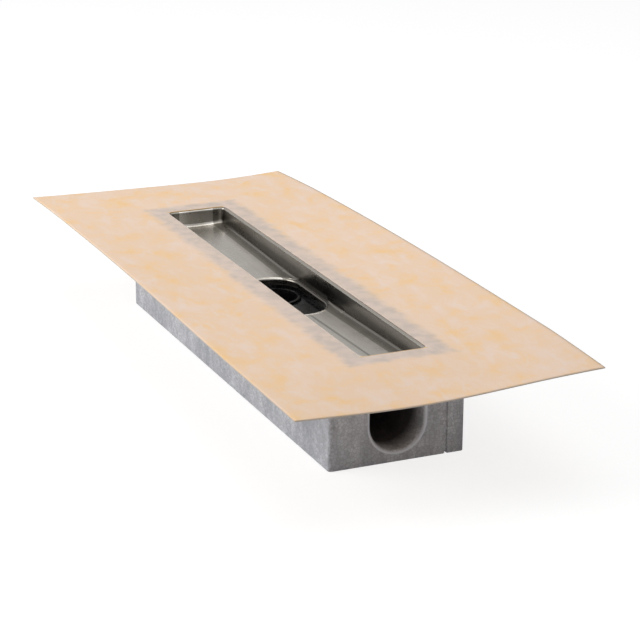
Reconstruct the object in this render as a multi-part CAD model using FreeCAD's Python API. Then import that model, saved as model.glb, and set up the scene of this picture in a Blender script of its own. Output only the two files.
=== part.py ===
import FreeCAD, Part
import math
import os

from FreeCAD import Vector

# Shower channel drain for a tiled floor: a drawn steel trough with a bonded
# fleece sealing collar, hung with its plastic drain housing in a foam block.
# Millimetres. X runs along the channel towards the pipe slot, Y across it and
# Z up. The origin is on the floor under the middle of the foam block.

round_steps = 2                 # flats in a small drawn rounding
foot_steps = 2                  # flats in the bend at the foot of the trough's walls
over_cut = 1.0                  # how far a cutter runs past the face it opens
tiny = 0.01

# ---- heights above the floor ----
rim_height = 99.0               # top of the collar round the opening
collar_thickness = 0.8
steel_gauge = 1.2

flange_top = rim_height - collar_thickness
foam_top = flange_top - steel_gauge

# ---- steel trough ----
trough_length = 484.5           # inside, between the end walls
trough_width = 60.0             # inside, between the long walls
trough_corner = 4.0             # plan radius of the four inside corners
flange_width = 20.0             # level flange round the opening
flange_corner = 9.0
rim_fold = 1.5                  # bend between flange and wall
wall_depth_middle = 20.5        # flange down to the foot of the long wall, at the outlet
wall_depth_end = 16.0           # the same at the two ends
wall_foot_radius = 2.5
side_fall = 1.1                 # drop of the narrow side slopes
side_slope_width = 11.0
centre_fall = 0.5               # further drop to the crease along the middle
outlet_recess = 0.2             # flat ring round the outlet, below the crease

# ---- drawn outlet neck of the trough ----
neck_length = 116.0             # inside, over both round ends
neck_width = 54.0
neck_depth = 6.0                # below the flat ring
neck_flare = 1.6                # of its upper edge
ring_margin = 2.2               # width of the flat ring

# ---- fleece collar ----
collar_length = 722.0
collar_width = 288.0
right_lift = 8.6                # height that the long +Y edge curls up
left_lift = 3.8                 # the same on the -Y edge
far_droop = 4.8                 # sag of the short -X edge
near_droop = 3.4                # sag of the short +X edge
corner_droop = 1.6              # what is left of the sag at the corners
right_run = 307.0               # way from the -X end over which the +Y edge comes up
left_crest = -43.0              # place of the -Y edge's highest point
left_reach = 415.0              # way from there over which it comes down
collar_margin_knots = 2

# ---- foam block ----
foam_length = 509.0
foam_width = 132.0
foam_edge = 3.0
foam_clearance = 0.6            # round the trough
pocket_clearance = 3.0          # round the drain housing
socket_clearance = 3.0          # round its outlet socket
slot_width = 52.0               # slot for the waste pipe
slot_bottom = 10.0
slot_lip = 2.5
score_offset = 46.5             # snap-off line for building against a wall
score_width = 3.0
score_depth = 11.0

# ---- plastic drain housing ----
housing_wall = 2.6
housing_bottom = 3.0
housing_half_length = 64.0
housing_half_width = 32.0
mouth_clearance = 0.5
shelf_thickness = 2.5
shelf_drop = 4.2                # shelf below the steel neck, at the trap
shelf_rise = 1.4                # fall of the long side of the shelf
shelf_level = 2.0               # level rim of the shelf round the trap's lip

# ---- fixing of the housing ----
gasket_thickness = 2.0
gasket_width = 2.0
lug_reach = 5.0                 # of the snap lug beyond the housing's end
lug_height = 4.0
lug_drop = 2.0                  # of its top below the housing's top
clip_gauge = 1.0
clip_width = 14.0
clip_foot = 9.0                 # length of the welded foot
clip_hook = 3.5                 # reach of the hook under the lug
clip_play = 0.3                 # between clip and lug end

# ---- odour trap ----
trap_x = -28.0
trap_lip = 53.2                 # diameter of the lip that rests on the shelf
trap_bore = 50.8                # hole in the shelf
trap_fit = 0.2                  # clearance on the radius
lip_thickness = 2.0
trap_wall = 1.6
dip_bore = 32.0
insert_depth = 16.0             # of its pot
dip_gap = 8.0                   # dip tube end above the cup bottom
cup_diameter = 49.0
cup_depth = 40.0
cup_standoff = 1.4              # cup bottom above the housing floor
rib_count = 3
rib_thickness = 2.0
rib_overlap = 14.0

# ---- glued outlet socket for a 50 mm waste pipe ----
pipe_diameter = 50.0
socket_play = 0.6
socket_depth = 42.0
socket_wall = 3.0
throat_width = 31.0             # square way out of the chamber
throat_height = 37.0
throat_length = 4.0             # of its part outside the chamber
throat_plate = 3.0              # eight-sided end plate that stops the pipe

# ---- values that follow ----
slot_axis = slot_bottom + slot_width / 2
neck_outer_width = neck_width + 2 * steel_gauge
neck_outer_length = neck_length + 2 * steel_gauge
ring_width = neck_width + 2 * ring_margin
ring_length = neck_length + 2 * ring_margin
ring_z = flange_top - wall_depth_middle - side_fall - centre_fall - outlet_recess
ring_underside = ring_z - steel_gauge
neck_end = ring_z - neck_depth
housing_top = ring_underside - gasket_thickness
shelf_z = neck_end - shelf_drop
mouth_width = neck_outer_width + 2 * mouth_clearance
mouth_length = neck_outer_length + 2 * mouth_clearance
lug_low = housing_top - lug_drop - lug_height
clip_end = (housing_half_length + lug_reach + clip_play + clip_gauge + clip_foot
            + pocket_clearance)
socket_bore = pipe_diameter + socket_play
socket_radius = socket_bore / 2 + socket_wall
socket_start = housing_half_length + throat_length + throat_plate
socket_end = socket_start + socket_depth
chamber_floor = housing_bottom + housing_wall
cup_bottom = chamber_floor + cup_standoff
cup_rim = cup_bottom + cup_depth


def rounded_outline(length, width, radius, z):
    """Level rectangle with rounded corners, centred on the Z axis."""
    x, y = length / 2, width / 2
    slant = radius * (1 - math.sqrt(0.5))
    edges = []
    for turn in range(4):
        along, across = (x, y) if turn % 2 == 0 else (y, x)
        side = [Vector(along, radius - across, z), Vector(along, across - radius, z),
                Vector(along - slant, across - slant, z), Vector(along - radius, across, z)]
        start, end, middle, after = [spin(point, turn) for point in side]
        edges += [Part.makeLine(start, end), Part.Arc(end, middle, after).toShape()]
    return Part.Wire(edges)


def spin(point, quarters):
    """Point turned about the Z axis by quarter turns."""
    for _ in range(quarters):
        point = Vector(-point.y, point.x, point.z)
    return point


def rounded_prism(length, width, radius, low, high):
    """Upright block with rounded corners, centred on the Z axis."""
    return Part.Face(rounded_outline(length, width, radius, low)).extrude(Vector(0, 0, high - low))


def stadium_outline(length, width, z):
    """Level outline with two half-round ends, centred on the Z axis."""
    radius = width / 2
    reach = length / 2 - radius
    corners = [Vector(-reach, -radius, z), Vector(reach, -radius, z),
               Vector(reach, radius, z), Vector(-reach, radius, z)]
    return Part.Wire([
        Part.makeLine(corners[0], corners[1]),
        Part.Arc(corners[1], Vector(reach + radius, 0, z), corners[2]).toShape(),
        Part.makeLine(corners[2], corners[3]),
        Part.Arc(corners[3], Vector(-reach - radius, 0, z), corners[0]).toShape()])


def stadium_prism(length, width, low, high):
    """Upright block with two half-round ends, centred on the Z axis."""
    return Part.Face(stadium_outline(length, width, low)).extrude(Vector(0, 0, high - low))


def quarter_round(radius):
    """Steps (inset, rise) along a quarter round, starting on its upright side."""
    turns = [math.pi / 2 * step / round_steps for step in range(round_steps + 1)]
    return [(radius * (1 - math.cos(turn)), radius * math.sin(turn)) for turn in turns]


def flared_stadium(length, width, low, high, flare):
    """Stadium opening that widens by flare at its upper edge."""
    sections = [(0.0, low), (0.0, high - flare), (flare, high)]
    wires = [stadium_outline(length + 2 * grow, width + 2 * grow, z) for grow, z in sections]
    return Part.makeLoft(wires, True, True)


def revolved(points, x=0.0):
    """Solid turned about the upright axis at x from (radius, z) points."""
    wire = Part.makePolygon([Vector(radius, 0, z) for radius, z in points + points[:1]])
    solid = Part.Face(wire).revolve(Vector(0, 0, 0), Vector(0, 0, 1), 360)
    return solid.translated(Vector(x, 0, 0))


def pipe_x(radius, start, end, height):
    """Solid round bar along X."""
    return Part.makeCylinder(radius, end - start, Vector(start, 0, height), Vector(1, 0, 0))


def floor_height(x):
    """Height of the foot of the trough's long walls at x, inside."""
    share = max(abs(x) - ring_length / 2, 0.0) / (trough_length / 2 - ring_length / 2)
    return flange_top - wall_depth_middle + share * (wall_depth_middle - wall_depth_end)


def floor_section(x, foot, offset):
    """Cross-section of the trough's inside at x, grown by offset; foot is the wall's foot."""
    half = trough_width / 2 + offset
    knee = trough_width / 2 - side_slope_width
    top = foot + 2 * wall_depth_middle
    radius = wall_foot_radius + offset
    tilt = math.atan(side_fall / side_slope_width)
    middle_y = half - radius
    middle_z = foot - (trough_width / 2 - middle_y) * math.tan(tilt) + radius / math.cos(tilt)
    turns = [(tilt - math.pi / 2) * step / foot_steps for step in range(foot_steps + 1)]
    bend = [(middle_y + radius * math.cos(turn), middle_z + radius * math.sin(turn))
            for turn in turns]
    half_line = [(half, top)] + bend + [(knee, foot - side_fall)]
    line = half_line + [(0.0, foot - side_fall - centre_fall)]
    line += [(-y, z) for y, z in reversed(half_line)]
    return Part.makePolygon([Vector(x, y, z) for y, z in line + line[:1]])


def pan_volume(offset, top):
    """Inside of the trough without outlet, grown by offset on every wall."""
    radius = wall_foot_radius + offset
    end = trough_length / 2 - wall_foot_radius
    stations = [(0.0, floor_height(0.0)), (ring_length / 2, floor_height(ring_length / 2)),
                (end, floor_height(end))]
    stations += [(end + rise, floor_height(end) + inset) for inset, rise in quarter_round(radius)[1:]]
    bays = []
    for side in (-1, 1):
        for (x, foot), (next_x, next_foot) in zip(stations, stations[1:]):
            section = Part.Face(floor_section(side * x, foot - offset, offset))
            bays.append(section.extrude(Vector(side * (next_x - x), 0, next_foot - foot)))
    upright = rounded_prism(trough_length + 2 * offset, trough_width + 2 * offset,
                            trough_corner + offset, ring_z - offset, top)
    return upright.common(bays[0].fuse(bays[1:]).removeSplitter())


def make_trough():
    """Drawn steel trough with level flange and drawn outlet neck."""
    flange = rounded_prism(trough_length + 2 * flange_width, trough_width + 2 * flange_width,
                           flange_corner, foam_top, flange_top)
    outside = flange.fuse([
        pan_volume(steel_gauge, foam_top),
        stadium_prism(ring_length + 2 * steel_gauge, ring_width + 2 * steel_gauge,
                      ring_underside, ring_z + wall_foot_radius),
        stadium_prism(neck_outer_length, neck_outer_width, neck_end, ring_z)])
    inside = pan_volume(0.0, flange_top).fuse([
        rim_flare(),
        stadium_prism(ring_length, ring_width, ring_z, foam_top),
        flared_stadium(neck_length, neck_width, neck_end, ring_z, neck_flare)])
    return outside.cut(inside).removeSplitter()


def rim_flare():
    """Rounded bend between the flange and the trough's walls, as a cutter."""
    sections = [(grow, flange_top - rim_fold + rise) for grow, rise in quarter_round(rim_fold)]
    wires = [rounded_outline(trough_length + 2 * grow, trough_width + 2 * grow,
                             trough_corner + grow, z) for grow, z in sections]
    return Part.makeLoft(wires, True, True)


def knot_line(half, level_half, margins):
    """Knots from -half to half, with all inner ones over the two bending margins."""
    span = half - level_half
    outer = [level_half + span * step / margins for step in range(margins + 1)]
    return [-value for value in reversed(outer)] + outer


def pole_line(knots):
    """Each pole's place on the axis and the range that the pole bends."""
    padded = knots[:1] * 3 + knots + knots[-1:] * 3
    return [(sum(padded[i + 1:i + 4]) / 3, padded[i], padded[i + 4])
            for i in range(len(padded) - 4)]


def margin_place(pole, level_half):
    """Place of a pole that bends only the free margin, or 0."""
    place, low, high = pole
    return place if low > level_half - tiny or high < tiny - level_half else 0.0


def smooth_step(value):
    """0 below 0, 1 above 1 and a smooth S between."""
    value = min(max(value, 0.0), 1.0)
    return value * value * (3 - 2 * value)


def collar_height(pole_x, pole_y, level_x, level_y):
    """Height of a collar pole over the level part of the collar."""
    half_x, half_y = collar_length / 2, collar_width / 2
    along, across = margin_place(pole_x, level_x), margin_place(pole_y, level_y)
    x, y = pole_x[0], pole_y[0]
    height = 0.0
    if across:
        right = right_lift * smooth_step((x + half_x) / right_run)
        left = left_lift * smooth_step((left_reach - abs(x - left_crest)) / half_x)
        height += (right if across > 0 else left) * (abs(across) - level_y) / (half_y - level_y)
    if along:
        droop = near_droop if along > 0 else far_droop
        sag = corner_droop + (droop - corner_droop) * (1 - (y / half_y) ** 2)
        height -= sag * (abs(along) - level_x) / (half_x - level_x)
    return height


def make_collar():
    """Fleece-faced collar: level on the flange, softly curved outside it."""
    level_x = trough_length / 2 + flange_width
    level_y = trough_width / 2 + flange_width
    knots_x = knot_line(collar_length / 2, level_x, collar_margin_knots)
    knots_y = knot_line(collar_width / 2, level_y, collar_margin_knots)
    poles = [[Vector(px[0], py[0], rim_height + collar_height(px, py, level_x, level_y))
              for py in pole_line(knots_y)] for px in pole_line(knots_x)]
    surface = Part.BSplineSurface()
    surface.buildFromPolesMultsKnots(
        poles, [4] + [1] * (len(knots_x) - 2) + [4], [4] + [1] * (len(knots_y) - 2) + [4],
        knots_x, knots_y, False, False, 3, 3)
    sheet = surface.toShape().extrude(Vector(0, 0, -collar_thickness))
    opening = rounded_prism(trough_length + 2 * rim_fold, trough_width + 2 * rim_fold,
                            trough_corner + rim_fold, foam_top, rim_height + over_cut)
    return sheet.cut(opening)


def make_foam():
    """Moulded foam block with beds for trough, housing and waste pipe."""
    block = rounded_prism(foam_length, foam_width, foam_edge, 0.0, foam_top)
    over = foam_top + over_cut
    bed = pan_volume(steel_gauge + foam_clearance, over)
    pocket = stadium_prism(2 * (housing_half_length + pocket_clearance),
                           2 * (housing_half_width + pocket_clearance), -over_cut, over)
    clip_bay = Part.makeBox(2 * clip_end, clip_width + 2 * pocket_clearance, over,
                            Vector(-clip_end, -clip_width / 2 - pocket_clearance,
                                   lug_low - pocket_clearance))
    block = block.cut([bed, pocket, clip_bay, socket_bed(over), pipe_slot(over)])
    return block.cut(score_lines())


def pipe_slot(top):
    """U-shaped way for the waste pipe, from the housing out of the +X end."""
    end = foam_length / 2
    round_bottom = pipe_x(slot_width / 2, 0.0, end, slot_axis)
    upper = Part.makeBox(end, slot_width, top - slot_axis, Vector(0, -slot_width / 2, slot_axis))
    flare = Part.makeCone(slot_width / 2, slot_width / 2 + slot_lip, slot_lip,
                          Vector(foam_length / 2 - slot_lip, 0, slot_axis), Vector(1, 0, 0))
    cheek = Part.makePolygon([
        Vector(foam_length / 2 - slot_lip, -slot_width / 2, slot_axis),
        Vector(foam_length / 2, -slot_width / 2 - slot_lip, slot_axis),
        Vector(foam_length / 2, slot_width / 2 + slot_lip, slot_axis),
        Vector(foam_length / 2 - slot_lip, slot_width / 2, slot_axis),
        Vector(foam_length / 2 - slot_lip, -slot_width / 2, slot_axis)])
    cheeks = Part.Face(cheek).extrude(Vector(0, 0, top - slot_axis))
    return round_bottom.fuse([upper, flare, cheeks])


def socket_bed(top):
    """Wider part of the pipe way, round the housing's socket."""
    radius = socket_radius + socket_clearance
    end = socket_end + socket_clearance
    trench = pipe_x(radius, 0.0, end, slot_axis)
    return trench.fuse(Part.makeBox(end, 2 * radius, top - slot_axis, Vector(0, -radius, slot_axis)))


def score_lines():
    """Score grooves round the strip that snaps off for a wall."""
    low = Part.makeBox(foam_length, score_width, score_depth,
                       Vector(-foam_length / 2, score_offset, 0))
    high = low.translated(Vector(0, 0, foam_top - score_depth))
    end = Part.makeBox(score_depth, score_width, foam_top,
                       Vector(foam_length / 2 - score_depth, score_offset, 0))
    far = end.translated(Vector(score_depth - foam_length, 0, 0))
    return [low, high, end, far]


def make_housing():
    """Moulded drain housing: mouth, shelf, trap chamber and the throat with its end plate."""
    chamber = stadium_prism(2 * housing_half_length, 2 * housing_half_width,
                            housing_bottom, housing_top)
    reach = housing_half_length + lug_reach
    lugs = Part.makeBox(2 * reach, clip_width, lug_height, Vector(-reach, -clip_width / 2, lug_low))
    hollow = stadium_prism(2 * (housing_half_length - housing_wall),
                           2 * (housing_half_width - housing_wall), chamber_floor,
                           shelf_z - shelf_thickness)
    mouth = stadium_prism(mouth_length, mouth_width, shelf_z, housing_top + over_cut)
    bore = Part.makeCylinder(trap_bore / 2, shelf_thickness + 2 * over_cut,
                             Vector(trap_x, 0, shelf_z - shelf_thickness - over_cut))
    solid = chamber.fuse([throat(housing_wall), end_plate(), lugs])
    return solid.cut([hollow, throat(0.0), mouth.cut(shelf_wedge()), bore]).removeSplitter()


def throat(wall):
    """Square passage from the chamber to the end plate that the socket is welded on."""
    width, height = throat_width + 2 * wall, throat_height + 2 * wall
    return Part.makeBox(socket_start, width, height,
                        Vector(0, -width / 2, slot_axis - height / 2))


def end_plate():
    """Eight-sided plate at the end of the throat, as wide over its flats as the socket."""
    corner = Vector(socket_start - throat_plate, socket_radius, slot_axis
                    + socket_radius * math.tan(math.pi / 8))
    outline = [Part.Vertex(corner).rotated(Vector(0, 0, slot_axis), Vector(1, 0, 0), 45 * turn).Point
               for turn in range(8)]
    plate = Part.Face(Part.makePolygon(outline + outline[:1]))
    return plate.extrude(Vector(throat_plate, 0, 0))


def make_socket():
    """Outlet socket, a plain tube welded on the throat's end plate."""
    tube = pipe_x(socket_radius, socket_start, socket_end, slot_axis)
    return tube.cut(pipe_x(socket_bore / 2, socket_start, socket_end, slot_axis))


def shelf_wedge():
    """Low wedge that gives the long side of the shelf its fall to the trap."""
    start = trap_x + trap_lip / 2 + shelf_level
    end = mouth_length / 2
    low = shelf_z - over_cut
    outline = Part.makePolygon([
        Vector(start, -mouth_width, low), Vector(end, -mouth_width, low),
        Vector(end, -mouth_width, shelf_z + shelf_rise), Vector(start, -mouth_width, shelf_z),
        Vector(start, -mouth_width, low)])
    return Part.Face(outline).extrude(Vector(0, 2 * mouth_width, 0))


def make_gasket():
    """Flat rubber ring between trough and housing."""
    ring = stadium_prism(mouth_length + 2 * gasket_width, mouth_width + 2 * gasket_width,
                         housing_top, ring_underside)
    return ring.cut(stadium_prism(mouth_length, mouth_width, housing_top, ring_underside))


def make_clips(trough):
    """Two spring clips, welded under the trough, that hook under the housing's lugs."""
    inner = housing_half_length + lug_reach + clip_play
    outer = inner + clip_gauge
    outline = Part.makePolygon([
        Vector(inner, 0, flange_top), Vector(outer + clip_foot, 0, flange_top),
        Vector(outer + clip_foot, 0, ring_underside - clip_gauge),
        Vector(outer, 0, ring_underside - clip_gauge), Vector(outer, 0, lug_low - clip_gauge),
        Vector(inner - clip_hook, 0, lug_low - clip_gauge),
        Vector(inner - clip_hook, 0, lug_low), Vector(inner, 0, lug_low),
        Vector(inner, 0, flange_top)])
    strip = Part.Face(outline).extrude(Vector(0, clip_width, 0))
    strip = strip.translated(Vector(0, -clip_width / 2, 0)).cut(trough)
    clip = min(strip.Solids, key=lambda solid: solid.CenterOfMass.z)
    return Part.makeCompound([clip, clip.mirror(Vector(0, 0, 0), Vector(1, 0, 0))])


def make_trap_insert():
    """Lift-out trap insert with its dip tube and cup ribs."""
    lip = trap_lip / 2
    lip_top = shelf_z + lip_thickness
    pot = trap_bore / 2 - trap_fit
    tube = dip_bore / 2
    floor = lip_top - insert_depth
    tube_end = cup_bottom + trap_wall + dip_gap
    body = revolved([
        (lip, lip_top), (pot - trap_wall, lip_top), (pot - trap_wall, floor), (tube, floor),
        (tube, tube_end), (tube + trap_wall, tube_end), (tube + trap_wall, floor - trap_wall),
        (pot, floor - trap_wall), (pot, shelf_z), (lip, shelf_z)])
    body = body.fuse(cup_ribs(tube, floor - trap_wall / 2))
    return body.translated(Vector(trap_x, 0, 0))


def cup_ribs(tube, top):
    """Ribs on the dip tube that the cup is pushed on to."""
    inside = cup_diameter / 2 - trap_wall - trap_fit / 2
    outside = cup_diameter / 2
    ribs = []
    for turn in range(rib_count):
        outline = Part.makePolygon([
            Vector(tube + trap_wall / 2, -rib_thickness / 2, cup_rim - rib_overlap),
            Vector(inside, -rib_thickness / 2, cup_rim - rib_overlap),
            Vector(inside, -rib_thickness / 2, cup_rim), Vector(outside, -rib_thickness / 2, cup_rim),
            Vector(outside, -rib_thickness / 2, top), Vector(tube + trap_wall / 2, -rib_thickness / 2, top),
            Vector(tube + trap_wall / 2, -rib_thickness / 2, cup_rim - rib_overlap)])
        rib = Part.Face(outline).extrude(Vector(0, rib_thickness, 0))
        ribs.append(rib.rotated(Vector(0, 0, 0), Vector(0, 0, 1), 360.0 * turn / rib_count))
    return ribs


def make_trap_cup():
    """Water cup of the odour trap."""
    outside, inside = cup_diameter / 2, cup_diameter / 2 - trap_wall
    floor = cup_bottom + trap_wall
    return revolved([(0, cup_bottom), (outside, cup_bottom), (outside, cup_rim), (inside, cup_rim),
                     (inside, floor), (0, floor)], trap_x)


def save(name, shape):
    """Write one piece, named as its node."""
    shape.exportStep(os.path.join("parts", name + ".step"))


os.makedirs("parts", exist_ok=True)
trough = make_trough()
save("foam_support", make_foam())
save("channel_trough", trough)
save("sealing_collar", make_collar())
save("drain_housing", make_housing())
save("outlet_socket", make_socket())
save("housing_gasket", make_gasket())
save("housing_clips", make_clips(trough))
save("trap_insert", make_trap_insert())
save("trap_cup", make_trap_cup())
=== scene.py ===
"""Looks of a shower channel drain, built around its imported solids.

A drawn steel channel hangs in a block of foam beads, with a plastic trap
housing under its oval outlet. A fleece-faced sealing collar is bonded on its
flange. Everything is in metres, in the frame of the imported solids: X runs
along the channel towards the pipe slot, Y across it and Z up.
"""

import logging
import math
from collections.abc import Iterator
from contextlib import contextmanager
from dataclasses import dataclass, field
from enum import Enum

import bmesh
import bpy
import numpy as np
from mathutils import Matrix, Vector


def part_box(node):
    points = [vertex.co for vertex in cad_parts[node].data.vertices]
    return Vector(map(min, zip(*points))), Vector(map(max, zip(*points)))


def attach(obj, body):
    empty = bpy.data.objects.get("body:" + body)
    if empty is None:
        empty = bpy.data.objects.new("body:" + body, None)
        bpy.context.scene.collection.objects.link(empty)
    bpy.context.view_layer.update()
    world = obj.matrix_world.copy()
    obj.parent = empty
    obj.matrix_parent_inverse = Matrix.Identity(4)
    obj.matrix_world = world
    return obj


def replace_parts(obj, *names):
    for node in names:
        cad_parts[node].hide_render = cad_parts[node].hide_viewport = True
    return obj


Tree = bpy.types.NodeTree
Node = bpy.types.Node
Socket = bpy.types.NodeSocket
Piece = bpy.types.Object
Grid = np.ndarray
Span = tuple[float, float]

log = logging.getLogger("channel_drain")

BODY = "root"
MM = 0.001
QUARTER = math.pi / 2
SHARP = math.radians(35)


class Slot(Enum):
    """Material slots of the record."""

    FOAM = "expanded_foam"
    STEEL = "stainless_steel"
    FLEECE = "fleece_membrane"
    PLASTIC = "black_plastic"
    RUBBER = "rubber_seal"
    SPRING = "spring_steel"


# ---- shading ----

def colour(code: str) -> tuple[float, float, float, float]:
    """Turn an sRGB hex colour into linear RGBA."""
    srgb = np.array([int(code[place:place + 2], 16) for place in (1, 3, 5)]) / 255.0
    linear = np.where(srgb <= 0.04045, srgb / 12.92, ((srgb + 0.055) / 1.055) ** 2.4)
    return (*linear.tolist(), 1.0)


def add_node(tree: Tree, kind: str, inputs: dict | None = None, **settings: object) -> Node:
    """Add one shader node with its settings and links.

    Args:
        tree: The material's or world's node tree.
        kind: Node class, without its leading ShaderNode.
        inputs: For each input's name or number a plain value, a hex colour, an
            output socket, or a node, which stands for its first output in use.
        settings: Properties of the node itself.

    Returns:
        The new node.
    """
    node = tree.nodes.new("ShaderNode" + kind)
    for name, value in settings.items():
        setattr(node, name, value)
    for name, value in (inputs or {}).items():
        if isinstance(value, Node):
            value = next(end for end in value.outputs if end.enabled)
        if isinstance(value, Socket):
            tree.links.new(value, node.inputs[name])
        else:
            node.inputs[name].default_value = colour(value) if isinstance(value, str) else value
    return node


def cleared_tree(owner: bpy.types.ID) -> Tree:
    """Node tree of a material or world, emptied."""
    owner.use_nodes = True
    owner.node_tree.nodes.clear()
    return owner.node_tree


def outside(tree: Tree, parts: Node, half_x: float, half_y: float) -> tuple[Node, Node, Node]:
    """Distances beyond a rectangle round the middle, below 0 inside it.

    Args:
        tree: The material's node tree.
        parts: A node that gives the place's coordinates one by one.
        half_x: Half of the rectangle's length.
        half_y: Half of its width.

    Returns:
        The absolute coordinate less the half size, along X and along Y, and
        the larger of the two.
    """
    beyond = []
    for axis, half in enumerate((half_x, half_y)):
        size = add_node(tree, "Math", {0: parts.outputs[axis]}, operation="ABSOLUTE")
        beyond.append(add_node(tree, "Math", {0: size, 1: half}, operation="SUBTRACT"))
    return *beyond, add_node(tree, "Math", dict(enumerate(beyond)), operation="MAXIMUM")


@dataclass(frozen=True)
class Band:
    """A band of a coordinate or a pattern.

    Its share is 0 at the span's first value and grows to its most at the
    second, in a straight line or, if soft, as a smooth S. The span is in
    millimetres, or in the pattern's own unit where unit is 1.
    """

    value: Node | Socket
    span: Span
    most: float = 1.0
    soft: bool = False
    unit: float = MM


def cover(tree: Tree, *bands: Band) -> Node:
    """How much a coat covers: the product of its bands' shares.

    Args:
        tree: The material's node tree.
        bands: The bands that a place has to lie in.

    Returns:
        The node that gives the share, 0 to 1.
    """
    product = None
    for band in bands:
        share = add_node(tree, "MapRange", {
            "Value": band.value, "From Min": band.span[0] * band.unit,
            "From Max": band.span[1] * band.unit, "To Max": band.most},
            interpolation_type="SMOOTHSTEP" if band.soft else "LINEAR")
        product = share if product is None else add_node(
            tree, "Math", {0: product, 1: share}, operation="MULTIPLY")
    return product


def paint(tree: Tree, ground: Node | str, *coats: tuple) -> Node:
    """Lay coats of colour over a ground, one after another.

    Args:
        tree: The material's node tree.
        ground: Colour under the first coat, a node or a hex colour.
        coats: For each coat how much it covers, a node or a band, and its colour.

    Returns:
        The node that gives the finished colour.
    """
    for share, over in coats:
        share = cover(tree, share) if isinstance(share, Band) else share
        ground = add_node(tree, "Mix", {0: share, 6: ground, 7: over}, data_type="RGBA")
    return ground


@dataclass(frozen=True)
class Finish:
    """A finish: one material, worked out from what the real surface is."""

    def surface(self, tree: Tree, place: Socket) -> dict:
        """Inputs of the shader, for a place in the drain's frame."""
        raise NotImplementedError

    def material(self) -> bpy.types.Material:
        """Make the material of this finish."""
        made = bpy.data.materials.new(type(self).__name__)
        tree = cleared_tree(made)
        place = add_node(tree, "TexCoord").outputs["Object"]
        shader = add_node(tree, "BsdfPrincipled", self.surface(tree, place))
        add_node(tree, "OutputMaterial", {"Surface": shader})
        return made


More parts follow.
